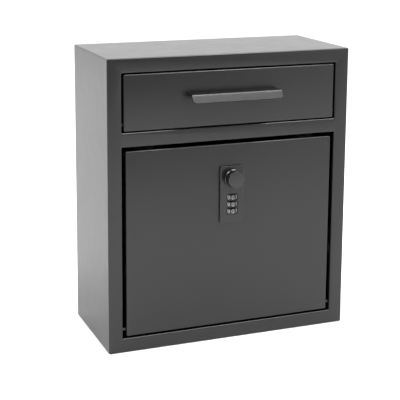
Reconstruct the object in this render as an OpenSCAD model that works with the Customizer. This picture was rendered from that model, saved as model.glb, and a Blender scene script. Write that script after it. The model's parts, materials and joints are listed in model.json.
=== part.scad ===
// Parcel drop box: a folded steel cabinet with a tilting hopper above and a locked drop-down door below.
// Millimetres. +X is right, +Y is back, +Z is up; the origin is the middle of the underside.

/* [Cabinet] */
// Overall width
width = 267; // [250:1:300]
// Overall depth, front face to back face
depth = 120; // [116:1:150]
// Overall height
height = 304.8; // [300:0.1:320]
// Cabinet sheet thickness
sheet = 1.5; // [1.2:0.1:1.6]
// Width of every rail and stile on the front
rail = 15; // [14:0.5:17]
// How far the edges of the openings fold back
fold = 15; // [14:0.5:16]
// Outside bend radius of the cabinet sheet
bend = 1.5; // [1.2:0.1:1.8]

/* [Openings] */
// Height of the lower opening, which the door fills
door_opening = 200; // [190:1:202]
// Wall screw spacing, side to side
wall_across = 180; // [120:5:200]
// Wall screw spacing, top to bottom
wall_up = 200; // [120:5:220]
// Wall screw hole radius
wall_hole = 3.5; // [2.5:0.1:4]

/* [Hopper] */
// Gap at each side of the hopper front
hopper_side_gap = 2; // [1.5:0.1:2.5]
// Gap over the hopper front
hopper_top_gap = 1.2; // [1:0.1:2]
// Gap under the hopper front
hopper_low_gap = 1; // [1:0.1:1.5]
// How far the hopper tilts open, in degrees
hopper_tilt = 60; // [45:1:60]
// Handle length
handle_long = 99; // [80:1:140]
// How far the handle shelf stands out
handle_out = 14; // [10:0.5:20]
// Length of the handle lip
handle_lip = 8.5; // [7:0.5:12]
// Lean of the handle lip, in degrees
handle_lean = 30; // [0:1:35]
// Radius of the handle lip's lower corners
handle_corner = 4; // [2:0.5:6]
// Length of the sloping tray
tray_long = 66; // [55:1:66]

/* [Door] */
// Gap at each side of the door
door_side_gap = 3.9; // [2.5:0.1:4]
// Gap over the door
door_top_gap = 4; // [3:0.1:5]
// Gap under the door
door_low_gap = 2; // [1.5:0.1:3]
// Sheet thickness of the door and the hopper
panel = 1.2; // [1:0.1:1.2]
// Depth of the folded edge of the door and the hopper
lip = 12; // [11:0.5:12]
// Radius of the pivot pins
pin = 1.75; // [1.5:0.05:1.8]

/* [Lock] */
// Height of the knob's axis
knob_z = 175.4; // [173:0.1:177]
// Knob face radius
knob_r = 8.8; // [8.8:0.1:9.4]
// Width of the lock plate
plate_wide = 27; // [27:0.5:32]
// Height of the lock plate
plate_tall = 60.5; // [60:0.5:64]
// Lock plate thickness
plate_deep = 2.5; // [2.4:0.1:3]
// Radius of a code wheel over its corners
dial_r = 7.6; // [7.4:0.1:7.6]
// Spacing of the code wheels
dial_pitch = 7.4; // [7.3:0.1:7.8]
// Reach of the locking cam
cam_reach = 46; // [44:0.5:47]

/* [Hidden] */
$fn = 64;

// Cabinet planes
side = width / 2;
front = -depth / 2;
back = depth / 2;
face_in = front + sheet;
fold_end = front + fold;
inside = side - sheet;
ceiling = height - sheet;
open_x = side - rail;
door_lo = rail;
door_hi = rail + door_opening;
hop_lo = door_hi + rail;
hop_hi = height - rail;
flange = 14;
flange_in = back - 2 * sheet;
panel_in = back - sheet;

// Hopper: pivot, outline and tray. Distances called "up" and "in" are from the pivot.
piv_y = front + 4.5;
hop_piv = hop_lo + 8;
hop_x = open_x - hopper_side_gap;
hop_z0 = hop_lo + hopper_low_gap;
hop_z1 = hop_hi - hopper_top_gap;
panel_end = front + lip;
bend_out = 2;
cheek_x = hop_x - panel;
foot_up = hop_z0 + panel - hop_piv;
foot_in = 7.5;
foot_out = bend_out - 4.5 + 0.05;
tray_slope = 20;
cheek_r = hop_hi - hop_piv - 1.8;
stop_r = 2.5;
hop_stop_out = 40;
hop_stop_at = acos((fold - 4.5 + stop_r + 0.3) / hop_stop_out) - hopper_tilt;
shelf_z = hop_hi - 23;

// Door
door_piv = door_lo + 9;
door_x = open_x - door_side_gap;
door_z0 = door_lo + door_low_gap;
door_z1 = door_hi - door_top_gap;
arm_x = door_x - panel;
door_stop_out = 30;
door_stop_at = acos((fold - 4.5 + stop_r + 0.3) / door_stop_out) - 90;

// Lock
plate_hi = knob_z + 12.6;
plate_lo = plate_hi - plate_tall;
plate_front = front - plate_deep;
skin = 0.6;
body_hi = knob_z + 8.2;
body_lo = plate_lo + 4.3;
body_x = 9.4;
body_back = front + 12;
cover_back = body_back + 1.2;
dial_top = knob_z - 20.6;
dial_half = 2.8;
window_wide = 12.2;
window_half = 3.25;
dial_y = plate_front + sqrt(pow(dial_r + 0.25, 2) - pow(window_wide / 2, 2));
wheel_hi = dial_top + dial_half + 1;
wheel_lo = dial_top - 2 * dial_pitch - dial_half - 1;
axle = 1.5;
spindle = 3;
cam_front = front + 16.2;
cam_back = cam_front + 2;
knob_out = front - 14;
collar_out = plate_front - 4;

// Small tools
module block(x0, x1, y0, y1, z0, z1) {
  translate([x0, y0, z0])
    cube([x1 - x0, y1 - y0, z1 - z0]);
}

module along_x(x0, x1) {
  translate([x0, 0, 0])
    rotate([90, 0, 90])
      linear_extrude(height = x1 - x0)
        children();
}

module along_y(y0, y1) {
  translate([0, y1, 0])
    rotate([90, 0, 0])
      linear_extrude(height = y1 - y0)
        children();
}

module along_z(z0, z1) {
  translate([0, 0, z0])
    linear_extrude(height = z1 - z0)
      children();
}

module rod_x(x0, x1, r, y, z) {
  translate([x0, y, z])
    rotate([0, 90, 0])
      cylinder(h = x1 - x0, r = r);
}

module rod_y(y0, y1, r, x, z) {
  translate([x, y0, z])
    rotate([-90, 0, 0])
      cylinder(h = y1 - y0, r = r);
}

module both_sides() {
  children();
  mirror([1, 0, 0])
    children();
}

// A rectangle with round corners, drawn flat
module rounded(u0, u1, v0, v1, r) {
  translate([u0 + r, v0])
    square([u1 - u0 - 2 * r, v1 - v0]);
  translate([u0, v0 + r])
    square([u1 - u0, v1 - v0 - 2 * r]);
  for (u = [u0 + r, u1 - r], v = [v0 + r, v1 - r])
    translate([u, v])
      circle(r = r);
}

// A solid block whose four front edges are round
module soft_front(x0, x1, y0, y1, z0, z1, r) {
  intersection() {
    along_z(z0 - 1, z1 + 1)
      rounded(x0, x1, y0, y1 + 20, r);
    along_x(x0 - 1, x1 + 1)
      rounded(y0, y1 + 20, z0, z1, r);
    block(x0 - 1, x1 + 1, y0 - 1, y1, z0 - 1, z1 + 1);
  }
}

// A folded tray open at the back: the door, and the front of the hopper
module folded_tray(x, z0, z1) {
  difference() {
    soft_front(-x, x, front, panel_end, z0, z1, bend_out);
    soft_front(panel - x, x - panel, front + panel, panel_end + 5, z0 + panel, z1 - panel,
      bend_out - panel);
  }
}

module cabinet_outside() {
  intersection() {
    soft_front(-side, side, front, back, 0, height, bend);
    along_y(front - 1, back + 1)
      rounded(-side, side, 0, height, bend);
  }
}

// Places a child drawn about the hopper's pivot
module at_pivot(z) {
  translate([0, piv_y, z])
    children();
}

module back_screw_places() {
  for (z = [30, 110, 190, 270])
    both_sides()
      translate([side - sheet - 7, 0, z])
        children();
  for (z = [8.2, ceiling - 7])
    translate([0, 0, z])
      children();
}

// Cabinet
module cabinet_wrap() {
  color("DimGray")
    difference() {
      union() {
        difference() {
          intersection() {
            cabinet_outside();
            block(-side - 1, side + 1, face_in, back, -1, height + 1);
          }
          block(-inside, inside, front - 1, back + 1, -1, ceiling);
        }
        both_sides()
          block(inside - flange, inside, flange_in, panel_in, sheet + 0.1, ceiling);
        block(-inside, inside, flange_in, panel_in, ceiling - flange, ceiling);
      }
      back_screw_places()
        rod_y(flange_in - 1, panel_in + 1, 2, 0, 0);
    }
}

module base_pan() {
  color("DimGray")
    difference() {
      union() {
        block(-inside, inside, face_in, panel_in, 0, sheet);
        both_sides()
          block(inside - sheet, inside, fold_end, flange_in - 1, 0, 14);
        block(flange - inside + 0.2, inside - flange - 0.2, flange_in, panel_in, 0, 15);
      }
      back_screw_places()
        rod_y(flange_in - 1, panel_in + 1, 2, 0, 0);
    }
}

module front_frame() {
  color("DimGray")
    difference() {
      union() {
        intersection() {
          cabinet_outside();
          block(-side - 1, side + 1, front - 1, face_in, -1, height + 1);
        }
        block(-open_x - sheet, open_x + sheet, face_in - 0.5, fold_end,
          door_lo - sheet, hop_hi + sheet);
      }
      block(-open_x, open_x, front - 2, fold_end + 1, door_lo, hop_hi);
      both_sides() {
        rod_x(open_x - 1, open_x + 3, 2.6, piv_y, hop_piv);
        rod_x(open_x - 1, open_x + 3, 2.6, piv_y, door_piv);
      }
    }
}

module middle_rail() {
  color("DimGray")
    difference() {
      block(-open_x, open_x, front, fold_end, door_hi, hop_lo);
      block(-side, side, face_in, fold_end + 1, door_hi + sheet, hop_lo - sheet);
    }
}

module back_panel() {
  color("DimGray")
    difference() {
      block(0.2 - inside, inside - 0.2, panel_in, back, 0.2, ceiling - 0.2);
      for (z = [-wall_up / 2, wall_up / 2])
        both_sides()
          rod_y(panel_in - 1, back + 1, wall_hole, wall_across / 2, height / 2 + z);
      back_screw_places()
        countersink();
    }
}

module countersink() {
  translate([0, back - sheet, 0])
    rotate([-90, 0, 0])
      cylinder(h = sheet, r1 = 2, r2 = 2 + sheet);
}

module back_screws() {
  color("Silver")
    back_screw_places()
      union() {
        countersink();
        rod_y(back - 7.5, back - sheet, 2, 0, 0);
      }
}

module clinch_nuts() {
  color("Silver")
    back_screw_places()
      difference() {
        rod_y(flange_in - 4, flange_in, 4, 0, 0);
        rod_y(flange_in - 5, flange_in + 1, 2, 0, 0);
      }
}

// Hangs from the roof just behind the sweep of the tray
module anti_fishing_baffle() {
  color("DimGray") {
    block(-126, 126, 9, 10.5, hop_piv + 46, ceiling);
    block(-126, 126, 10.5, 22, ceiling - sheet, ceiling);
  }
}

module hopper_stop_tabs() {
  color("DimGray")
    both_sides()
      union() {
        block(40, 60, front + 3, fold_end + sheet, hop_hi + sheet, hop_hi + 2 * sheet);
        block(40, 60, fold_end, fold_end + sheet, hop_hi - 8, hop_hi + 2 * sheet);
      }
}

module hopper_bumpers() {
  color("#202020")
    both_sides()
      rod_y(panel_end + 0.1, fold_end, 3.2, 50, hop_z1 - 2.6);
}

module door_stop_tabs() {
  color("DimGray")
    both_sides()
      union() {
        block(80, 100, front + 3, fold_end + sheet, door_hi + sheet, door_hi + 2 * sheet);
        block(80, 100, fold_end, fold_end + sheet, door_hi - 12, door_hi + 2 * sheet);
      }
}

module door_bumpers() {
  color("#202020")
    both_sides()
      rod_y(panel_end + 0.1, fold_end, 3.2, 90, door_z1 - 2.6);
}

module bush_pair(z) {
  color("#303030")
    both_sides()
      difference() {
        rod_x(open_x, open_x + 4, 2.6, piv_y, z);
        rod_x(open_x - 1, open_x + 5, pin + 0.05, piv_y, z);
      }
}

module hopper_bushes() {
  bush_pair(hop_piv);
}

module door_bushes() {
  bush_pair(door_piv);
}

// Hopper
module hopper_front() {
  color("DimGray")
    difference() {
      folded_tray(hop_x, hop_z0, hop_z1);
      block(-handle_long / 2 - 0.2, handle_long / 2 + 0.2, front - 1, front + panel + 0.5,
        shelf_z - 1.6, shelf_z + 0.1);
      rod_x(-side, side, pin, piv_y, hop_piv);
    }
}

// One bent strip: a flange behind the hopper front, a shelf through its slot, and a leaning lip
module hopper_handle() {
  half = handle_long / 2;
  color("Gray") {
    block(-half, half, front + panel, front + panel + 1.5, shelf_z - 14, shelf_z);
    block(-half, half, front - handle_out + 1.5, front + panel + 0.1, shelf_z - 1.5, shelf_z);
    translate([0, front - handle_out + 1.5, shelf_z - 1.5]) {
      rod_x(-half, half, 1.5, 0, 0);
      rotate([-handle_lean, 0, 0])
        difference() {
          block(-half, half, -1.5, 0, -handle_lip, 0);
          both_sides()
            difference() {
              block(half - handle_corner, half + 1, -3, 1, -handle_lip - 1,
                handle_corner - handle_lip);
              rod_y(-4, 2, handle_corner, half - handle_corner, handle_corner - handle_lip);
            }
        }
    }
  }
}

module hopper_tray() {
  color("DimGray")
    at_pivot(hop_piv) {
      block(-cheek_x + panel, cheek_x - panel, foot_out, foot_in, foot_up, foot_up + panel);
      translate([0, foot_in, foot_up + panel])
        rotate([-tray_slope, 0, 0])
          block(-cheek_x + panel, cheek_x - panel, 0, tray_long, -panel, 0);
      rod_x(-cheek_x + panel, cheek_x - panel, panel, foot_in, foot_up + panel);
    }
}

// A side plate of the hopper: a sector that fills the opening, with a wing under the parcel
module cheek() {
  tip_in = foot_in + tray_long * cos(tray_slope);
  tip_up = foot_up + panel - tray_long * sin(tray_slope);
  at_pivot(hop_piv)
    difference() {
      union() {
        intersection() {
          rod_x(cheek_x - panel, cheek_x, cheek_r, 0, 0);
          block(0, side, foot_out, cheek_r, foot_up, hop_z1 - panel - hop_piv);
        }
        along_x(cheek_x - panel, cheek_x)
          polygon([
            [foot_in, foot_up], [tip_in - 0.4, tip_up - panel], [tip_in, tip_up],
            [tip_in + 1, tip_up + 8], [tip_in + 1, 1], [45, 19], [0, 19], [0, foot_up]
          ]);
      }
      rod_x(0, side, pin, 0, 0);
      rod_x(0, side, 1.5, hop_stop_out * cos(hop_stop_at), hop_stop_out * sin(hop_stop_at));
    }
}

module right_cheek() {
  color("DimGray")
    cheek();
}

module left_cheek() {
  color("DimGray")
    mirror([1, 0, 0])
      cheek();
}

module hopper_pivot_pins() {
  color("Silver")
    at_pivot(hop_piv)
      both_sides()
        union() {
          rod_x(cheek_x - panel - 1.2, cheek_x - panel, 3, 0, 0);
          rod_x(cheek_x - panel, open_x + 3, pin, 0, 0);
        }
}

// Riveted through the cheeks; they meet the folded edges of the stiles at full tilt
module hopper_stop_studs() {
  color("Silver")
    at_pivot(hop_piv)
      both_sides()
        translate([0, hop_stop_out * cos(hop_stop_at), hop_stop_out * sin(hop_stop_at)]) {
          rod_x(cheek_x - panel, cheek_x, 1.5, 0, 0);
          rod_x(cheek_x, open_x + 3, stop_r, 0, 0);
        }
}

// Door
module door_panel() {
  color("DimGray")
    difference() {
      folded_tray(door_x, door_z0, door_z1);
      block(-body_x - 0.2, body_x + 0.2, front - 1, front + 3, body_lo - 0.2, body_hi + 0.2);
      lock_screw_places()
        rod_y(front - 1, front + 3, 1.25, 0, 0);
      rod_x(-side, side, pin, piv_y, door_piv);
    }
}

module door_pivot_pins() {
  color("Silver")
    at_pivot(door_piv)
      both_sides()
        union() {
          rod_x(arm_x - 2.7, arm_x - 1.5, 3, 0, 0);
          rod_x(arm_x - 1.5, open_x + 3, pin, 0, 0);
        }
}

// Cranked plates inside the folded edges of the door, reaching back over the bottom rail
module door_stop_arms() {
  color("DimGray")
    at_pivot(door_piv)
      both_sides()
        difference() {
          along_x(arm_x - 1.5, arm_x)
            polygon([
              [foot_out, 5], [24, 5], [33, -8], [33, -17], [22, -17], [13, -6.5], [8, -5.7],
              [foot_out, -5.7]
            ]);
          rod_x(0, side, pin, 0, 0);
          rod_x(0, side, 1.5, door_stop_out * cos(door_stop_at), door_stop_out * sin(door_stop_at));
        }
}

module door_stop_studs() {
  color("Silver")
    at_pivot(door_piv)
      both_sides()
        translate([0, door_stop_out * cos(door_stop_at), door_stop_out * sin(door_stop_at)]) {
          rod_x(arm_x - 1.5, arm_x, 1.5, 0, 0);
          rod_x(arm_x, open_x + 3, stop_r, 0, 0);
        }
}

// Lock
module lock_screw_places() {
  for (z = [plate_lo + 6, plate_hi - 6])
    both_sides()
      translate([11.9, 0, z])
        children();
}

module cover_screw_places() {
  for (z = [body_lo + 2, body_hi - 2.4])
    both_sides()
      translate([body_x - 2.4, 0, z])
        children();
}

// The room that each code wheel turns in, open to the front through a rounded window
module dial_windows() {
  for (i = [0:2])
    translate([0, dial_y, dial_top - i * dial_pitch])
      intersection() {
        translate([0, 0, -window_half])
          cylinder(h = 2 * window_half, r = dial_r + 0.25);
        along_y(-20, 0)
          rounded(-6.6, 6.6, -window_half, window_half, 1.6);
      }
}

module lock_plate() {
  color("DimGray")
    difference() {
      along_y(plate_front, front)
        rounded(-plate_wide / 2, plate_wide / 2, plate_lo, plate_hi, 0.8);
      dial_windows();
      block(-8, 8, plate_front + skin, front + 1, wheel_lo, wheel_hi);
      rod_y(plate_front - 1, front + 1, spindle + 0.5, 0, knob_z);
      lock_screw_places()
        rod_y(front - 2, front + 1, 1.25, 0, 0);
    }
}

module knob_collar() {
  color("Gray")
    difference() {
      rod_y(collar_out, plate_front, 9.8, 0, knob_z);
      rod_y(collar_out - 1, plate_front + 1, 8.8, 0, knob_z);
    }
}

module lock_housing() {
  color("Silver")
    difference() {
      union() {
        block(-body_x, body_x, front, body_back, body_lo, body_hi);
        block(-14, 14, front + panel, front + panel + 1.8, plate_lo, plate_hi);
      }
      block(-8, 8, front - 1, body_back + 1, wheel_lo, wheel_hi);
      rod_y(front - 1, body_back + 1, spindle + 0.05, 0, knob_z);
      translate([0, dial_y, body_lo + 2])
        cylinder(h = wheel_hi + 2 - body_lo, r = axle);
      lock_screw_places()
        rod_y(front, front + 4, 1.25, 0, 0);
      cover_screw_places()
        rod_y(body_back - 5, body_back + 1, 1, 0, 0);
    }
}

module lock_cover() {
  color("Silver")
    difference() {
      block(-body_x, body_x, body_back, cover_back, body_lo, body_hi);
      rod_y(body_back - 1, cover_back + 1, spindle + 0.5, 0, knob_z);
      cover_screw_places()
        rod_y(body_back - 1, cover_back + 1, 1, 0, 0);
    }
}

module lock_cover_screws() {
  color("Silver")
    cover_screw_places()
      union() {
        rod_y(body_back - 5, cover_back, 1, 0, 0);
        rod_y(cover_back, cover_back + 0.9, 1.9, 0, 0);
      }
}

module lock_fixing_screws() {
  color("Silver")
    lock_screw_places()
      union() {
        rod_y(front - 2, front + panel + 1.8, 1.25, 0, 0);
        rod_y(front + panel + 1.8, front + panel + 3.2, 2, 0, 0);
      }
}

module dial_axle() {
  color("Silver")
    translate([0, dial_y, body_lo + 2])
      cylinder(h = wheel_hi + 2 - body_lo, r = axle);
}

module dial_spacers() {
  color("Silver")
    for (i = [0:1])
      translate([0, dial_y, dial_top - (i + 0.5) * dial_pitch - 0.6])
        difference() {
          cylinder(h = 1.2, r = 3.5);
          translate([0, 0, -1])
            cylinder(h = 4, r = axle);
        }
}

// A flat spring with a rib that clicks into each wheel
module detent_spring() {
  color("Silver") {
    block(-5, 5, body_back - 0.4, body_back, wheel_lo + 0.3, wheel_hi - 0.3);
    for (i = [0:2])
      translate([0, body_back - 0.8, dial_top - i * dial_pitch - 2])
        cylinder(h = 4, r = 0.6);
  }
}

module dial(i) {
  color("#181818")
    translate([0, dial_y, dial_top - i * dial_pitch])
      difference() {
        intersection() {
          translate([0, 0, -dial_half])
            cylinder(h = 2 * dial_half, r = dial_r, $fn = 10);
          union() {
            translate([0, 0, -dial_half])
              cylinder(h = 0.6, r1 = dial_r - 0.6, r2 = dial_r);
            translate([0, 0, 0.6 - dial_half])
              cylinder(h = 2 * dial_half - 1.2, r = dial_r);
            translate([0, 0, dial_half - 0.6])
              cylinder(h = 0.6, r1 = dial_r, r2 = dial_r - 0.6);
          }
        }
        translate([0, 0, -dial_half - 1])
          cylinder(h = 2 * dial_half + 2, r = axle + 0.05);
      }
}

module upper_dial() {
  dial(0);
}

module middle_dial() {
  dial(1);
}

module lower_dial() {
  dial(2);
}

// Knob, spindle and cam turn together; the cam lies across the lock until the knob is turned
module lock_knob() {
  color("DimGray")
    difference() {
      union() {
        rod_y(knob_out + 2.6, plate_front - 0.3, 8.3, 0, knob_z);
        rod_y(knob_out + 0.6, knob_out + 2.6, knob_r, 0, knob_z);
        translate([0, knob_out + 0.6, knob_z])
          rotate([90, 0, 0])
            cylinder(h = 0.6, r1 = knob_r, r2 = knob_r - 1.2);
      }
      rod_y(knob_out + 4, front, spindle, 0, knob_z);
    }
}

module knob_spindle() {
  color("Silver")
    rod_y(knob_out + 4, cam_back + 4.2, spindle, 0, knob_z);
}

module lock_cam() {
  color("Silver")
    difference() {
      union() {
        rod_y(cam_front, cam_back, 7, 0, knob_z);
        block(0, cam_reach, cam_front, cam_back, knob_z - 5, knob_z + 5);
      }
      rod_y(cam_front - 1, cam_back + 1, spindle, 0, knob_z);
    }
}

module cam_washer() {
  color("Silver")
    difference() {
      rod_y(cam_back, cam_back + 0.8, 6, 0, knob_z);
      rod_y(cam_back - 1, cam_back + 2, spindle, 0, knob_z);
    }
}

module cam_nut() {
  color("Silver")
    translate([0, cam_back + 0.8, knob_z])
      rotate([-90, 0, 0])
        difference() {
          cylinder(h = 2.6, r = 5.6, $fn = 6);
          translate([0, 0, -1])
            cylinder(h = 5, r = spindle);
        }
}

cabinet_wrap();
base_pan();
front_frame();
middle_rail();
back_panel();
back_screws();
clinch_nuts();
anti_fishing_baffle();
hopper_stop_tabs();
hopper_bumpers();
hopper_bushes();
door_stop_tabs();
door_bumpers();
door_bushes();
hopper_front();
hopper_handle();
hopper_tray();
left_cheek();
right_cheek();
hopper_pivot_pins();
hopper_stop_studs();
door_panel();
door_pivot_pins();
door_stop_arms();
door_stop_studs();
lock_plate();
knob_collar();
lock_housing();
lock_cover();
lock_cover_screws();
lock_fixing_screws();
dial_axle();
dial_spacers();
detent_spring();
lock_knob();
knob_spindle();
lock_cam();
cam_washer();
cam_nut();
upper_dial();
middle_dial();
lower_dial();
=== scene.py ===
# %% [markdown]
# # A parcel drop box in Blender
# The steel box stands on a pale floor. Its working model comes in first as the frame: every sheet, pin
# and screw at its true size, grouped into the bodies that move. This lesson gives the sheets their
# bends and softened edges, builds the lock's small pieces, and puts a finish on every surface.

# %% Load the frame
import json
import math

import bmesh
import bpy
import numpy as np
from mathutils import Matrix, Vector


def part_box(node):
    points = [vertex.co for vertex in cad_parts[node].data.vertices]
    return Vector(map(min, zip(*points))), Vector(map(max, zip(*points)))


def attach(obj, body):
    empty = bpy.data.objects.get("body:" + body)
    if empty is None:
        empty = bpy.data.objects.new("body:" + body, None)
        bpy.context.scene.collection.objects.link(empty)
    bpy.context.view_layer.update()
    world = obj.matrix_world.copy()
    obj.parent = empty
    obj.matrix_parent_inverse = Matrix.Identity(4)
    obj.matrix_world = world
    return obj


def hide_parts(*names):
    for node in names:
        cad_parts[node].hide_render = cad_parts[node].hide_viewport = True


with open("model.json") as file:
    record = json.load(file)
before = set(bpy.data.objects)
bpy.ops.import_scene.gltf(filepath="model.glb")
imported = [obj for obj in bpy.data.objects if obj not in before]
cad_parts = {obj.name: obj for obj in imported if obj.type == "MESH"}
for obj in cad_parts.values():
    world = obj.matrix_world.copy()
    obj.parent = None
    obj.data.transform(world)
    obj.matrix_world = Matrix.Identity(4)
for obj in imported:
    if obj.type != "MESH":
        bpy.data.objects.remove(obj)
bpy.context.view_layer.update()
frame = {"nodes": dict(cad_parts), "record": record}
MM = 0.001

# %% [markdown]
# ## Planes to work to
# A sheet-metal shop measures from the outside faces, so the same planes are read here from the
# frame's own pieces. A new sheet that starts from them lies exactly on the old one.

# %% Measure the planes in millimetres
def box_mm(node):
    """Lowest and highest corner of a frame piece, in millimetres."""
    lo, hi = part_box(node)
    return np.array(lo) / MM, np.array(hi) / MM


face_lo, face_hi = box_mm("front_frame")
rail_lo, rail_hi = box_mm("middle_rail")
FRONT, SIDE, TOP = face_lo[1], face_hi[0], face_hi[2]
SHEET = box_mm("cabinet_wrap")[0][1] - FRONT
OPEN_X = rail_hi[0]
RAIL = SIDE - OPEN_X
FOLD = rail_hi[1]
print("front plane %.1f, half width %.1f, height %.1f, sheet %.1f" % (FRONT, SIDE, TOP, SHEET))

# %% [markdown]
# ## From grids to pieces
# Each new piece is one or more grids of points. A grid is a table of rows and columns, and every four
# neighbours make a face. Where grids share an edge their points are merged, so the piece is one skin
# with no cracks. Edges that turn sharply stay sharp, and the rest are shaded smooth.

# %% Grids, merging and shading
SAME_PLACE, SLIVER = 1e-6, 1e-7


def grid_faces(rows, cols, start, closed):
    """Four neighbours of a rows x cols table make a face; closed joins the last column to the first."""
    i = np.arange(rows - 1)[:, None] * cols
    j = np.arange(cols if closed else cols - 1)[None, :]
    k = (j + 1) % cols
    return start + np.stack([i + j, i + k, i + cols + k, i + cols + j], -1).reshape(-1, 4)


def make_piece(name, grids, material, body, stands_for=(), sharp=40.0):
    """Joins grids into one mesh, turns its faces outwards and lets it ride its body. A grid is a table
    of points (rows, columns, 3) in millimetres, with True if its last column joins its first."""
    points, faces, start = [], [], 0
    for table, closed in grids:
        points.append(table.reshape(-1, 3))
        faces.append(grid_faces(table.shape[0], table.shape[1], start, closed))
        start += table.shape[0] * table.shape[1]
    mesh = bpy.data.meshes.new(name)
    mesh.from_pydata(np.concatenate(points) * MM, [], np.concatenate(faces).tolist())
    work = bmesh.new()
    work.from_mesh(mesh)
    bmesh.ops.remove_doubles(work, verts=work.verts, dist=SAME_PLACE)
    bmesh.ops.dissolve_degenerate(work, edges=work.edges, dist=SLIVER)
    bmesh.ops.recalc_face_normals(work, faces=work.faces)
    work.to_mesh(mesh)
    work.free()
    mesh.shade_smooth()
    mesh.set_sharp_from_angle(angle=math.radians(sharp))
    piece = bpy.data.objects.new(name, mesh)
    bpy.context.scene.collection.objects.link(piece)
    mesh.materials.append(material)
    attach(piece, body)
    if stands_for:
        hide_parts(*stands_for)
    print("%s: %d faces" % (name, len(mesh.polygons)))
    return piece


def thicken(piece, depth):
    """A skin drawn on the outside face of a sheet gets the sheet's thickness behind it."""
    wall = piece.modifiers.new("sheet thickness", "SOLIDIFY")
    wall.thickness, wall.offset = depth * MM, -1
    wall.use_even_offset = True
    return piece


print("grids make pieces; edges turning more than 40 degrees stay sharp")

# %% [markdown]
# ## Outlines and bends
# A folded sheet is a flat face whose rim rolls over through a quarter circle and runs back as an edge.
# So one outline, a rectangle with round corners, is carried along that profile: it grows as the rim
# rolls over and then travels straight back.

# %% Rings carried along a profile
CORNER_STEPS = 6


def ring(x0, x1, z0, z1, y, radius, stops=()):
    """A rectangle with round corners as a closed row of points. Corner points lie at centre + radius x
    (cos a, sin a); stops add points at those heights on both sides."""
    turn = np.linspace(0, np.pi / 2, CORNER_STEPS)
    r = max(radius, 0.0)

    def arc(cx, cz, q):
        a = turn + q * np.pi / 2
        return np.stack([cx + r * np.cos(a), cz + r * np.sin(a)], -1)

    heights = np.array(sorted(stops), float).reshape(-1, 1)
    up = np.concatenate([np.full_like(heights, x1), heights], 1)
    down = np.concatenate([np.full_like(heights, x0), heights], 1)[::-1]
    flat = np.concatenate([
        arc(x1 - r, z1 - r, 0), arc(x0 + r, z1 - r, 1), down,
        arc(x0 + r, z0 + r, 2), arc(x1 - r, z0 + r, 3), up,
    ])
    return np.stack([flat[:, 0], np.full(len(flat), y), flat[:, 1]], -1)


def quarter(steps=7):
    """Angles from 0 to a right angle, for a bend."""
    return np.linspace(0, np.pi / 2, steps)


def rolled_rim(x0, x1, z0, z1, y_face, y_end, radius, corner, stops=()):
    """Rows of rings from the flat face round a bend and back: at angle a the inset is
    radius x (1 - sin a) and the depth radius x (1 - cos a). A negative radius rolls into a hole."""
    r = abs(radius)
    rows = []
    for a in quarter():
        e = radius * (1 - math.sin(a))
        rows.append(ring(x0 + e, x1 - e, z0 + e, z1 - e, y_face + r * (1 - math.cos(a)), corner - e, stops))
    rows.append(ring(x0, x1, z0, z1, y_end, corner, stops))
    return np.stack(rows)


def patch(x_lines, z_lines, y):
    """A flat rectangle ruled with the given lines."""
    x, z = np.meshgrid(x_lines, z_lines)
    return np.stack([x, np.full_like(x, float(y)), z], -1)


print("a ring has", len(ring(0, 1, 0, 1, 0, 0)), "points")

# %% [markdown]
# ## Finishes
# Powder coat is a plastic skin baked on the steel. Close up it is a fine grain of soft bumps, and over
# a whole panel the film runs a little thicker and thinner, so both its grey and its gloss drift. Noise
# at three sizes gives these: fine for the grain, middling for the gloss, broad for the colour. The
# noise reads Object coordinates, in metres, so a grain is as big on the door as on the handle.

# %% One recipe for coated, cast, plated and moulded surfaces
NOISE_LOW, NOISE_HIGH = 0.3, 0.7
BROAD, MIDDLE = 9.0, 70.0
BROAD_SHARE, FINE_SHARE = 0.7, 0.3
GLINT_FROM, GLINT_FULL = 0.62, 0.78


def set_range(step, *from_low_to_high):
    """Fills in a Map Range node: from lowest, from highest, to lowest, to highest."""
    for key, value in zip(("From Min", "From Max", "To Min", "To Max"), from_low_to_high):
        step.inputs[key].default_value = value


def ramp(nodes, links, source, low, high):
    """Stretches a 0 to 1 noise onto low to high."""
    step = nodes.new("ShaderNodeMapRange")
    set_range(step, NOISE_LOW, NOISE_HIGH, low, high)
    links.new(source, step.inputs["Value"])
    return step.outputs["Result"]


def noise(nodes, links, coords, scale, detail=2.0, stretch=(1, 1, 1)):
    """Noise with so many lumps to the metre, stretched where brushing or rolling drew it out."""
    place = nodes.new("ShaderNodeMapping")
    place.inputs["Scale"].default_value = stretch
    links.new(coords, place.inputs["Vector"])
    grain = nodes.new("ShaderNodeTexNoise")
    grain.inputs["Scale"].default_value = scale
    grain.inputs["Detail"].default_value = detail
    links.new(place.outputs["Vector"], grain.inputs["Vector"])
    return grain.outputs["Fac"]


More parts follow.
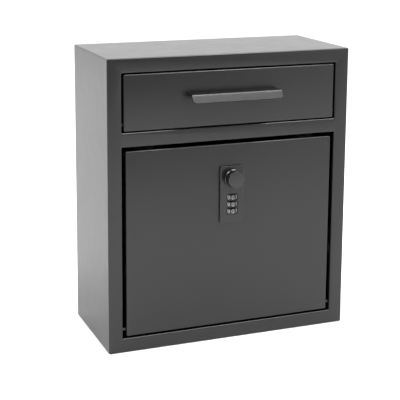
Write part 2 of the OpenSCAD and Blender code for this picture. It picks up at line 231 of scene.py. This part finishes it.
def finish(name, dark, light, gloss, grain, grain_depth, metal=0.0, wave_depth=0.0, stretch=(1, 1, 1),
           painted_glint=None):
    """A procedural surface. dark and light bound its colour, gloss its roughness; grain is lumps to
    the metre, grain_depth and wave_depth the height of the bumps in millimetres. The last argument is
    a painted glint: the colour painted on the peaks of the grain, for grains that would catch the light."""
    material = bpy.data.materials.new(name)
    material.use_nodes = True
    nodes, links = material.node_tree.nodes, material.node_tree.links
    nodes.clear()
    out = nodes.new("ShaderNodeOutputMaterial")
    skin = nodes.new("ShaderNodeBsdfPrincipled")
    links.new(skin.outputs["BSDF"], out.inputs["Surface"])
    coords = nodes.new("ShaderNodeTexCoord").outputs["Object"]
    broad = noise(nodes, links, coords, BROAD, 3.0, stretch)
    middle = noise(nodes, links, coords, MIDDLE, 3.0, stretch)
    fine = noise(nodes, links, coords, grain, 2.0, stretch)
    tint = nodes.new("ShaderNodeMix")
    tint.data_type = "RGBA"
    tint.inputs["A"].default_value = (*dark, 1)
    tint.inputs["B"].default_value = (*light, 1)
    blend = nodes.new("ShaderNodeMath")
    blend.operation = "MULTIPLY_ADD"
    links.new(ramp(nodes, links, broad, 0.0, BROAD_SHARE), blend.inputs[0])
    blend.inputs[1].default_value = 1.0
    links.new(ramp(nodes, links, fine if painted_glint is None else middle, 0.0, FINE_SHARE), blend.inputs[2])
    links.new(blend.outputs["Value"], tint.inputs["Factor"])
    colour = tint.outputs["Result"]
    # Painted glint: where the fine grain peaks, the colour turns to the last argument's brighter grey,
    # standing in for grains that catch the light.
    if painted_glint:
        glint = nodes.new("ShaderNodeMix")
        glint.data_type = "RGBA"
        glint.inputs["B"].default_value = (*painted_glint, 1)
        links.new(colour, glint.inputs["A"])
        peak = nodes.new("ShaderNodeMapRange")
        set_range(peak, GLINT_FROM, GLINT_FULL, 0.0, 1.0)
        links.new(fine, peak.inputs["Value"])
        links.new(peak.outputs["Result"], glint.inputs["Factor"])
        colour = glint.outputs["Result"]
    links.new(colour, skin.inputs["Base Color"])
    links.new(ramp(nodes, links, middle, *gloss), skin.inputs["Roughness"])
    skin.inputs["Metallic"].default_value = metal
    bump = nodes.new("ShaderNodeBump")
    bump.inputs["Distance"].default_value = grain_depth * MM
    links.new(fine, bump.inputs["Height"])
    if wave_depth:
        wave = nodes.new("ShaderNodeBump")
        wave.inputs["Distance"].default_value = wave_depth * MM
        links.new(broad, wave.inputs["Height"])
        links.new(wave.outputs["Normal"], bump.inputs["Normal"])
    links.new(bump.outputs["Normal"], skin.inputs["Normal"])
    material.diffuse_color = (*light, 1)
    print("finish:", name)
    return material


# %% [markdown]
# The cabinet and both panels take the plain coat. The handle's coat is coarser, with a painted glint:
# a few grains painted bright where they would catch the light. The lock is sprayed with a smoother enamel.
# The knob's coat is painted a shade paler than the lock's: painted light, for the lamp light its face
# catches.

# %% Coats
powder_coat = finish("charcoal powder coat", (0.0055, 0.0058, 0.0054), (0.0075, 0.0078, 0.0073),
                     (0.28, 0.31), 1400, 0.012, wave_depth=0.008)
# The handle's coat carries a painted glint: a few grains painted bright where they would catch the light.
handle_coat = finish("charcoal powder coat on the handle", (0.004, 0.0044, 0.004), (0.007, 0.0075, 0.007),
                     (0.30, 0.40), 900, 0.09, painted_glint=(0.05, 0.052, 0.05))
lock_enamel = finish("lock enamel", (0.005, 0.0053, 0.005), (0.008, 0.0083, 0.008),
                     (0.24, 0.30), 2200, 0.006)
# Painted light: the knob's coat is painted paler than the lock enamel, standing in for the lamp light that
# its face catches.
knob_painted_light_coat = finish("knob coat with painted light", (0.012, 0.0124, 0.012), (0.016, 0.0165, 0.016),
                   (0.30, 0.35), 2200, 0.006)

# %% [markdown]
# Bare and plated metals use the same recipe with the metal switched on. A metal only mirrors, and its
# colour is the tint it gives the reflection. These are greys, rougher where the metal was cast, and
# with the grain drawn out where it was rolled. The pivot pins are blackened, so they hardly show.

# %% Metals
zinc = finish("dull zinc plate", (0.20, 0.20, 0.19), (0.30, 0.30, 0.29), (0.34, 0.48), 1800, 0.006,
              metal=1.0)
pin_steel = finish("blackened pin steel", (0.05, 0.05, 0.048), (0.08, 0.08, 0.077), (0.34, 0.48), 1800,
                   0.006, metal=1.0)
alloy = finish("die-cast alloy", (0.34, 0.34, 0.33), (0.46, 0.46, 0.45), (0.42, 0.58), 1500, 0.02,
               metal=1.0)
spring_steel = finish("rolled spring steel", (0.30, 0.30, 0.31), (0.42, 0.42, 0.43), (0.20, 0.32), 900,
                      0.004, metal=1.0, stretch=(0.1, 1, 1))

# %% [markdown]
# The small moulded parts are plain plastics and rubber: hardly any colour, and duller than the coat.
# The digits are a matt white paint.

# %% Plastics, rubber and paint
rubber = finish("moulded rubber", (0.010, 0.010, 0.010), (0.020, 0.020, 0.020), (0.70, 0.85), 2500, 0.02)
nylon = finish("moulded nylon", (0.018, 0.018, 0.018), (0.030, 0.030, 0.030), (0.45, 0.60), 2500, 0.01)
dial_black = finish("black dial plastic", (0.006, 0.006, 0.006), (0.011, 0.011, 0.011),
                    (0.35, 0.5), 2600, 0.006)
digit_white = finish("white digit paint", (0.40, 0.40, 0.39), (0.50, 0.50, 0.49), (0.5, 0.62), 3000, 0.004)

# %% [markdown]
# ## Dress the frame's own pieces
# Most inner pieces are already the right shape, so they only need their finish. Each piece's slot in
# the record says which one it takes, and the pivot pins take the blackened steel.

# %% A finish for every slot
FINISHES = {
    "powder_coat": powder_coat, "zinc_steel": zinc, "spring_steel": spring_steel, "bumper_rubber": rubber,
    "bush_nylon": nylon, "lock_alloy": alloy, "lock_enamel": lock_enamel, "dial_plastic": dial_black,
}
for entry in frame["record"]["subparts"]:
    piece = frame["nodes"][entry["node"]]
    piece.data.materials.clear()
    is_pin = entry["node"].endswith("pivot_pins")
    piece.data.materials.append(pin_steel if is_pin else FINISHES[entry["material_slot"]])
print("dressed", len(frame["nodes"]), "frame pieces")

# %% [markdown]
# ## The front face
# The face is one sheet with two windows pressed in it. Its outer rim rolls over to meet the cabinet's
# sides, and the rim of each window rolls inwards and runs back as a folded edge. All rims are drawn as
# rings, and flat bands join them.

# %% Front frame and middle rail in one skin
BEND, EDGE, HOLE_CORNER = SHEET, 1.6, 0.5
stops = (rail_lo[2] + EDGE, rail_hi[2] - EDGE)
door_hole = (-OPEN_X, OPEN_X, RAIL, rail_lo[2])
hopper_hole = (-OPEN_X, OPEN_X, rail_hi[2], TOP - RAIL)


def hole_grids(x0, x1, z0, z1):
    """A square-cornered ring on the face, then the hole's edge rolling inwards and running back."""
    square = ring(x0 - EDGE, x1 + EDGE, z0 - EDGE, z1 + EDGE, FRONT, 0)
    rolled = rolled_rim(x0, x1, z0, z1, FRONT, FOLD, -EDGE, HOLE_CORNER)
    return [(np.concatenate([square[None], rolled]), True)]


outer = ring(-SIDE + BEND, SIDE - BEND, BEND, TOP - BEND, FRONT, 0, stops)
inner = ring(-OPEN_X - EDGE, OPEN_X + EDGE, RAIL - EDGE, TOP - RAIL + EDGE, FRONT, 0, stops)
rail_band = patch([-OPEN_X - EDGE, OPEN_X + EDGE], stops, FRONT)
rim = rolled_rim(-SIDE, SIDE, 0, TOP, FRONT, FRONT + SHEET, BEND, BEND, stops)
front_face = make_piece(
    "front_face", [(np.stack([outer, inner]), True), (rim, True), (rail_band, False)]
    + hole_grids(*door_hole) + hole_grids(*hopper_hole),
    powder_coat, "cabinet", ("front_frame", "middle_rail"))
thicken(front_face, SHEET)

# %% [markdown]
# ## The hopper front and the door
# Both are shallow trays: a flat panel whose four sides roll back. The panel is one flat patch inside
# the rolled rim, and Solidify gives the sheet its thickness towards the inside.

# %% Two folded trays
PANEL = 1.2


def folded_tray(name, node, body):
    """A flat patch, then rings rolling back from it to the tray's full depth."""
    lo, hi = box_mm(node)
    flat = patch([lo[0] + EDGE, hi[0] - EDGE], [lo[2] + EDGE, hi[2] - EDGE], FRONT)
    rim = rolled_rim(lo[0], hi[0], lo[2], hi[2], FRONT, hi[1], EDGE, EDGE)
    thicken(make_piece(name, [(flat, False), (rim, True)], powder_coat, body, (node,)), PANEL)


folded_tray("hopper_panel", "hopper_front", "hopper")
folded_tray("door_sheet", "door_panel", "door")

# %% [markdown]
# ## The handle
# The handle is a strip of thicker sheet bent twice: a flange behind the panel, a shelf out through it,
# and a lip that leans outwards. Its section is a path of straight runs and bends, and every point on
# that path becomes a row across the strip. Near the lip's end the rows get shorter, which rounds its
# corners. A small bevel breaks the strip's edges, so that they catch a thin line of light.

# %% A strip carried along its bent section
def arc_in_section(y, z, radius, start, end, steps=9):
    """Points on a circle in the y-z plane, between two angles in degrees from +Y towards +Z."""
    a = np.radians(np.linspace(start, end, steps))
    return np.stack([y + radius * np.cos(a), z + radius * np.sin(a)], -1)


STRIP, BEND_R, LEAN = 1.5, 2.0, 30.0
SHELF_OUT, FLANGE_LONG, EASE = 12.0, 13.9, 0.3
LIP_START, LIP_LONG, CORNER = 1.5, 8.0, 4.0
half_long, _, shelf_top = box_mm("hopper_handle")[1]
back_bend = (FRONT + PANEL + STRIP - BEND_R, shelf_top - BEND_R)
front_bend = (FRONT - SHELF_OUT, shelf_top - BEND_R)
nose = arc_in_section(*front_bend, BEND_R, 90, 180 - LEAN)
down = np.array([-math.sin(math.radians(LEAN)), -math.cos(math.radians(LEAN))])
lip_at = np.concatenate([[LIP_START], LIP_LONG - CORNER * (1 - np.sin(quarter(10)))])
section = np.concatenate([
    [[back_bend[0] + BEND_R, shelf_top - FLANGE_LONG]], arc_in_section(*back_bend, BEND_R, 0, 90),
    nose, nose[-1] + lip_at[:, None] * down,
])

# %% [markdown]
# Each corner of the lip is a quarter circle. A row that lies t before the lip's end is shorter on each
# side by r - sqrt(r^2 - (r - t)^2), where r is the corner's radius.

# %% Rows across the strip
to_end = np.full(len(section), np.inf)
to_end[-len(lip_at):] = LIP_LONG - lip_at
round_off = CORNER - np.sqrt(np.maximum(CORNER**2 - (CORNER - to_end) ** 2, 0))
half = half_long - np.where(to_end < CORNER, round_off, 0)
across = np.linspace(-1, 1, 13)[None, :] * half[:, None]
y, z = (np.broadcast_to(section[:, k, None], across.shape) for k in (0, 1))
strip = np.stack([across, y, z], -1)
handle = make_piece("handle", [(strip, False)], handle_coat, "hopper", ("hopper_handle",))
thicken(handle, STRIP)
ease = handle.modifiers.new("broken edge", "BEVEL")
ease.width, ease.segments, ease.limit_method = EASE * MM, 2, "ANGLE"
ease.harden_normals = True

# %% [markdown]
# ## The lock plate
# The plate is cast with three windows and a pocket behind them for the code wheels. Rings again: from
# the band round the windows out over the softened rim, round the back and into the pocket. Each window
# has rings of its own, which flare inwards to clear its wheel.

# %% Rings of one window
def centre_of(node, axis):
    """Half way between a frame piece's two faces along one axis, in millimetres."""
    return sum(corner[axis] for corner in box_mm(node)) / 2


WINDOWS = [centre_of(level + "_dial", 2) for level in ("upper", "middle", "lower")]
PITCH = WINDOWS[0] - WINDOWS[1]
BAND_X, POCKET_X, SKIN = 9, 8, 0.6
WINDOW_RINGS = (
    (6.25, 3.4, 0.0, 1.65), (6.12, 3.25, 0.05, 1.5), (6.1, 3.25, 0.15, 1.5), (6.6, 3.25, SKIN, 1.6),
)
plate_lo, plate_hi = box_mm("lock_plate")
plate_x, plate_y = plate_hi[0], plate_lo[1]
inner_y = plate_y + SKIN
print("windows %.2f mm apart, plate %.1f mm wide" % (PITCH, 2 * plate_x))


def window_rings(z):
    """Front square, soft edge of the window, flare through the skin, square on the pocket side. Each of
    WINDOW_RINGS is a ring's half width, half height, depth and corner radius."""
    rows = [ring(-BAND_X, BAND_X, z - PITCH / 2, z + PITCH / 2, plate_y, 0)]
    for wide, tall, deep, corner in WINDOW_RINGS:
        rows.append(ring(-wide, wide, z - tall, z + tall, plate_y + deep, corner))
    rows.append(ring(-POCKET_X, POCKET_X, z - PITCH / 2, z + PITCH / 2, inner_y, 0))
    return np.stack(rows), True


# %% [markdown]
# The rest of the plate is one wrap of rings. It has points half way between the windows, where the
# windows' own squares meet it, so that the skin closes.

# %% Plate with three windows
pocket_lo, pocket_hi = WINDOWS[2] - PITCH / 2, WINDOWS[0] + PITCH / 2
between = (WINDOWS[2] + PITCH / 2, WINDOWS[0] - PITCH / 2)
PLATE_EDGE, PLATE_CORNER = 0.45, 0.9
rim = rolled_rim(-plate_x, plate_x, plate_lo[2], plate_hi[2], plate_y, FRONT, PLATE_EDGE, PLATE_CORNER,
                 between)
wrap = np.concatenate([
    ring(-BAND_X, BAND_X, pocket_lo, pocket_hi, plate_y, 0, between)[None], rim,
    ring(-POCKET_X, POCKET_X, pocket_lo, pocket_hi, FRONT, 0, between)[None],
    ring(-POCKET_X, POCKET_X, pocket_lo, pocket_hi, inner_y, 0, between)[None],
])
make_piece("lock_face_plate", [(wrap, True)] + [window_rings(z) for z in WINDOWS], lock_enamel, "door",
           ("lock_plate",))

# %% [markdown]
# ## The knob and its collar
# Both are turned shapes: a profile of radius against height is spun about the spindle's axis. The
# profile's corners are rounded so that they catch the light as a machined edge does.

# %% Turned pieces
knob_centre = centre_of("knob_spindle", 2)


def turned(name, profile, material, body, node):
    """Each (radius r, y) of the profile becomes a circle (r cos a, y, centre + r sin a)."""
    a = np.linspace(0, 2 * np.pi, 96, endpoint=False)
    r, y = np.array(profile, float).T[:, :, None]
    y = np.broadcast_to(y, (len(profile), len(a)))
    table = np.stack([r * np.cos(a), y, knob_centre + r * np.sin(a)], -1)
    make_piece(name, [(table, True)], material, body, (node,))


def fillet(r, y, radius, start, end, steps=6):
    """Profile points round a corner; angles run from outwards (+r) towards the front (-y)."""
    a = np.radians(np.linspace(start, end, steps))
    return [(r + radius * math.cos(b), y - radius * math.sin(b)) for b in a]


# %% [markdown]
# The knob's face is very slightly domed: it falls back by DOME x t^2, t running from 0 in the middle to
# 1 near the rim. Behind the rim the knob steps in to the neck that runs inside the collar.

# %% Knob
DOME, FLAT_EDGE, FACE_EDGE = 0.35, 1.0, 0.7
RIM_BACK, BACK_EDGE = 2.7, 0.4
NECK, NECK_FROM, NECK_FULL = 8.0, 3.3, 4.0
knob_lo, knob_hi = box_mm("lock_knob")
knob_r, knob_face = knob_hi[0], knob_lo[1]
dome = [(t * (knob_r - FLAT_EDGE), knob_face + DOME * t**2) for t in np.linspace(0, 1, 10)]
knob_profile = (
    dome + fillet(knob_r - FACE_EDGE, knob_face + DOME + FACE_EDGE, FACE_EDGE, 80, 0)
    + fillet(knob_r - BACK_EDGE, knob_face + RIM_BACK, BACK_EDGE, 0, -90)
    + [(NECK + 0.2, knob_face + NECK_FROM), (NECK, knob_face + NECK_FULL), (NECK, knob_hi[1])]
    + [(0, knob_hi[1])]
)
turned("knob", knob_profile, knob_painted_light_coat, "knob", "lock_knob")

# %% [markdown]
# The collar is a short tube round the knob's neck. Its front edge slopes back towards the outside, and
# that slope is what shows as a bright arc at the knob's upper left.

# %% Collar
BORE, INNER_EDGE, OUTER_EDGE, SLOPE = 8.8, 0.1, 0.3, 1.0
collar_lo, collar_hi = box_mm("knob_collar")
collar_r, collar_face = collar_hi[0], collar_lo[1]
collar_profile = (
    [(BORE, collar_hi[1]), (BORE, collar_face + 2 * INNER_EDGE)]
    + fillet(BORE + INNER_EDGE, collar_face + INNER_EDGE, INNER_EDGE, 180, 90)
    + fillet(collar_r - OUTER_EDGE, collar_face + SLOPE, OUTER_EDGE, 45, 0)
    + [(collar_r, collar_hi[1]), (BORE, collar_hi[1])]
)
turned("knob_ring", collar_profile, lock_enamel, "door", "knob_collar")

# %% [markdown]
# ## Code wheels and their digits
# A wheel has ten flats, one for each digit, with a nick between them for the finger. Its radius is the
# flat's distance divided by the cosine of the angle from the flat's middle, less the nick, which is a
# smooth dip exp(-(t / width)^2) round each corner.

# %% Wheel shape
STEP = 36
NICK_DEEP, NICK_WIDE, HUB = 0.35, 2.2, 1.55
WHEEL_EDGE = ((0.55, 0), (0.15, 0.2), (0, 0.6))
wheel_lo, wheel_hi = box_mm("upper_dial")
wheel_y = centre_of("upper_dial", 1)
FLAT = max(wheel_hi[0], wheel_hi[1] - wheel_y) * math.cos(math.radians(STEP / 2))
HALF = (wheel_hi[2] - wheel_lo[2]) / 2


def wheel_grid(z):
    """Rows up the wheel's side, over its softened edges and down through the bore. Each of WHEEL_EDGE
    is how far the outline shrinks, and how far that row lies from the wheel's end."""
    a = np.linspace(0, 2 * np.pi, 240, endpoint=False)
    off = (np.degrees(a) % STEP) - STEP / 2
    nick = NICK_DEEP * np.exp(-(((STEP / 2 - np.abs(off)) / NICK_WIDE) ** 2))
    radius = FLAT / np.cos(np.radians(off)) - nick
    rim = [(less, inset - HALF) for less, inset in WHEEL_EDGE]
    rim += [(less, -up) for less, up in reversed(rim)]
    hub = np.full_like(radius, HUB)
    r = np.stack([hub] + [radius - less for less, _ in rim] + [hub, hub])
    up = np.array([-HALF] + [h for _, h in rim] + [HALF, -HALF])[:, None]
    return np.stack([r * np.cos(a), wheel_y + r * np.sin(a), np.broadcast_to(z + up, r.shape)], -1)


print("flats %.2f mm from the axle, wheels %.2f mm tall" % (FLAT, 2 * HALF))

# %% [markdown]
# The digits are printed, and each is a few strokes: straight runs and parts of ellipses, drawn within
# about 2 units across and 3 up, so no font is needed.

# %% Digits as strokes
def curve(cx, cy, rx, ry, start, end, steps=14):
    """Part of an ellipse, centre + (rx cos a, ry sin a), in degrees anticlockwise from the right."""
    a = np.radians(np.linspace(start, end, steps))
    return np.stack([cx + rx * np.cos(a), cy + ry * np.sin(a)], -1)


def line(*points):
    """Straight runs through the given points."""
    return np.array(points, float)


STROKES = {
    0: [curve(0, 0, 0.78, 1.35, 90, 450, 33)],
    1: [line((-0.5, 0.85), (0.08, 1.38), (0.08, -1.38))],
    2: [np.concatenate([curve(0, 0.62, 0.76, 0.74, 165, -32), line((-0.78, -1.3), (0.82, -1.3))])],
    3: [curve(-0.05, 0.68, 0.74, 0.68, 150, -90), curve(-0.05, -0.66, 0.82, 0.68, 90, -150)],
    4: [line((0.34, -1.38), (0.34, 1.38), (-0.86, -0.5), (0.86, -0.5))],
    5: [np.concatenate([line((0.7, 1.32), (-0.6, 1.32), (-0.68, 0.12)),
                        curve(-0.02, -0.46, 0.8, 0.88, 128, -150)])],
    6: [curve(0, -0.52, 0.76, 0.84, 0, 360, 25), curve(0.72, -0.5, 1.48, 1.86, 180, 98)],
    7: [line((-0.78, 1.32), (0.8, 1.32), (-0.2, -1.38))],
    8: [curve(0, 0.7, 0.66, 0.66, 0, 360, 25), curve(0, -0.66, 0.8, 0.7, 0, 360, 25)],
    9: [curve(0, 0.52, 0.76, 0.84, 0, 360, 25), curve(-0.72, 0.5, 1.48, 1.86, 0, -82)],
}
print("digits:", len(STROKES), "strokes:", sum(len(paths) for paths in STROKES.values()))

# %% [markdown]
# A stroke becomes a narrow ribbon of paint: its middle line is widened both ways along its normal, and
# the paint stands a few hundredths of a millimetre proud of the flat.

# %% Strokes into ribbons
STROKE_HALF, PAINT_LOW, PAINT_HIGH = 0.21, -0.05, 0.06
DIGIT_SIZE = np.array([1.65, 1.27])


def ribbon(path):
    """Four edges run along the stroke at path + normal x half width and path - normal x half width, low
    and high, and the ends close to a point."""
    along = np.gradient(path, axis=0)
    along /= np.linalg.norm(along, axis=1, keepdims=True)
    side = np.stack([-along[:, 1], along[:, 0]], -1) * STROKE_HALF
    left, right = path + side, path - side
    rows = [(left, PAINT_LOW), (left, PAINT_HIGH), (right, PAINT_HIGH), (right, PAINT_LOW), (left, PAINT_LOW)]
    table = np.stack([np.concatenate([p, np.full((len(p), 1), h)], 1) for p, h in rows])
    ends = table.mean(axis=0)
    first, last = (np.broadcast_to(ends[k], (len(table), 1, 3)) for k in (0, -1))
    return np.concatenate([first, table, last], axis=1)


def on_flat(table, digit, z):
    """Lays a flat drawing (across, up, proud) on the flat of that digit, reading from outside."""
    a = math.radians(270 + STEP * digit)
    out, right = np.array([math.cos(a), math.sin(a), 0]), np.array([-math.sin(a), math.cos(a), 0])
    centre = np.array([0, wheel_y, z]) + out * FLAT
    return centre + table[..., :1] * right + table[..., 1:2] * np.array([0, 0, 1]) + table[..., 2:] * out


# %% [markdown]
# The three wheels are alike and all rest at 0. The wheel and its digits stay separate pieces, because
# they take different finishes, and both ride the wheel's body, so they turn together.

# %% Three wheels with their digits
for level, z in zip(("upper", "middle", "lower"), WINDOWS):
    make_piece(level + "_code_wheel", [(wheel_grid(z), True)], dial_black, level + "_wheel",
               (level + "_dial",), sharp=25)
    marks = [(on_flat(ribbon(path * DIGIT_SIZE), digit, z), False)
             for digit, paths in STROKES.items() for path in paths]
    make_piece(level + "_wheel_digits", marks, digit_white, level + "_wheel")

# %% [markdown]
# ## The floor
# The box stands on a pale, matt floor. The floor ends a little way in front of the box, because the
# front face mirrors it: the door mirrors the lit floor, and the top rail the dimmer room beyond it.

# %% Floor
FLOOR_LEFT, FLOOR_RIGHT, FLOOR_FRONT, FLOOR_BACK = -9.0, 9.0, -1.55, 9.0
FLOOR_GREY, FLOOR_ROUGH = 0.86, 0.9
floor_mesh = bpy.data.meshes.new("studio_floor")
floor_mesh.from_pydata([(FLOOR_LEFT, FLOOR_FRONT, 0), (FLOOR_RIGHT, FLOOR_FRONT, 0),
                        (FLOOR_RIGHT, FLOOR_BACK, 0), (FLOOR_LEFT, FLOOR_BACK, 0)], [], [(0, 1, 2, 3)])
floor = bpy.data.objects.new("studio_floor", floor_mesh)
bpy.context.scene.collection.objects.link(floor)
pale = bpy.data.materials.new("pale floor")
pale.use_nodes = True
matt = pale.node_tree.nodes["Principled BSDF"]
matt.inputs["Base Color"].default_value = (FLOOR_GREY, FLOOR_GREY, FLOOR_GREY, 1)
matt.inputs["Roughness"].default_value = FLOOR_ROUGH
floor_mesh.materials.append(pale)
print("floor ends %.2f m in front of the box's middle" % -FLOOR_FRONT)

# %% [markdown]
# ## The room's light
# A satin black box shows mostly what it reflects, so the room matters more than the lamps. White walls
# behind it and to its left are mirrored at a low angle by the roof and the left side, which read pale,
# while the front looks back at a dimmer room and stays dark. The strength of the light is blended along
# the direction it comes from, and the camera itself sees plain white.

# %% Room light
FRONT_LEFT, FRONT_RIGHT, BACK_WALL, BACKDROP = 0.35, 1.25, 1.50, 1.3
world = bpy.data.worlds.new("white room")
bpy.context.scene.world = world
world.use_nodes = True
sky, wires = world.node_tree.nodes, world.node_tree.links
background = sky["Background"]
background.inputs["Color"].default_value = (1, 1, 1, 1)
direction = sky.new("ShaderNodeSeparateXYZ")
wires.new(sky.new("ShaderNodeTexCoord").outputs["Generated"], direction.inputs["Vector"])


def blend_along(axis, start, end, low, high):
    """Strength that runs smoothly from low to high as the direction turns along one axis."""
    step = sky.new("ShaderNodeMapRange")
    step.interpolation_type = "SMOOTHSTEP"
    set_range(step, start, end, low, high)
    wires.new(direction.outputs[axis], step.inputs["Value"])
    return step


front_wall = blend_along("X", 0.2, 0.6, FRONT_LEFT, FRONT_RIGHT)
depth = blend_along("Y", -0.6, 0.4, FRONT_LEFT, BACK_WALL)
wires.new(front_wall.outputs["Result"], depth.inputs["To Min"])
seen = sky.new("ShaderNodeMix")
seen.data_type = "FLOAT"
seen.inputs["B"].default_value = BACKDROP
wires.new(sky.new("ShaderNodeLightPath").outputs["Is Camera Ray"], seen.inputs["Factor"])
wires.new(depth.outputs["Result"], seen.inputs["A"])
wires.new(seen.outputs["Result"], background.inputs["Strength"])
print("room: front %.2f to %.2f, back %.2f" % (FRONT_LEFT, FRONT_RIGHT, BACK_WALL))

# %% [markdown]
# Three soft lamps: one on each side in front, which the bent edges of the handle and collar pick up, and
# one behind on the left that only lights the floor the left side mirrors.

# %% Softboxes
def softbox(name, place, aim, size, power):
    """A square area lamp at place, turned to face aim, in metres and watts."""
    lamp = bpy.data.lights.new(name, "AREA")
    lamp.shape, lamp.size, lamp.energy = "SQUARE", size, power
    piece = bpy.data.objects.new(name, lamp)
    bpy.context.scene.collection.objects.link(piece)
    piece.location = place
    piece.rotation_euler = (Vector(aim) - Vector(place)).to_track_quat("-Z", "Y").to_euler()
    print("%s: %g W, %g m" % (name, power, size))


softbox("right softbox", (0.55, -0.50, 1.60), (0, 0, 0.1), 0.7, 25)
softbox("left softbox", (-0.85, -0.60, 1.35), (0, 0, 0.1), 0.6, 14)
softbox("floor softbox", (-0.9, 1.6, 1.5), (-0.9, 1.6, 0), 1.2, 27)

# %% [markdown]
# ## The camera
# It stands to the left and a little above, with a long lens. back is the unit vector from the subject
# to the camera: (sin A cos E, -cos A cos E, sin E) for azimuth A and elevation E. The lens is shifted
# down, as on a view camera, so that the camera tips down less and the upright edges stay nearly parallel.

# %% Camera
AZIMUTH, ELEVATION, ROLL = math.radians(-21.45), math.radians(10.35), math.radians(0.36)
camera = bpy.data.objects.new("camera", bpy.data.cameras.new("camera"))
bpy.context.scene.collection.objects.link(camera)
bpy.context.scene.camera = camera
across = math.cos(ELEVATION)
back = Vector((math.sin(AZIMUTH) * across, -math.cos(AZIMUTH) * across, math.sin(ELEVATION)))
camera.location = (-0.4437, -1.0919, 0.4573)
camera.rotation_mode = "QUATERNION"
roll = Matrix.Rotation(ROLL, 4, "Z").to_quaternion()
camera.rotation_quaternion = (-back).to_track_quat("-Z", "Y") @ roll
camera.data.sensor_width, camera.data.lens = 36, 100.3
camera.data.shift_x, camera.data.shift_y = 0.006, -0.240
camera.data.clip_start, camera.data.clip_end = 0.05, 50
bpy.context.scene.view_settings.view_transform = "Standard"
bpy.context.scene.view_settings.look = "None"
print("camera %.2f m away" % camera.location.length)
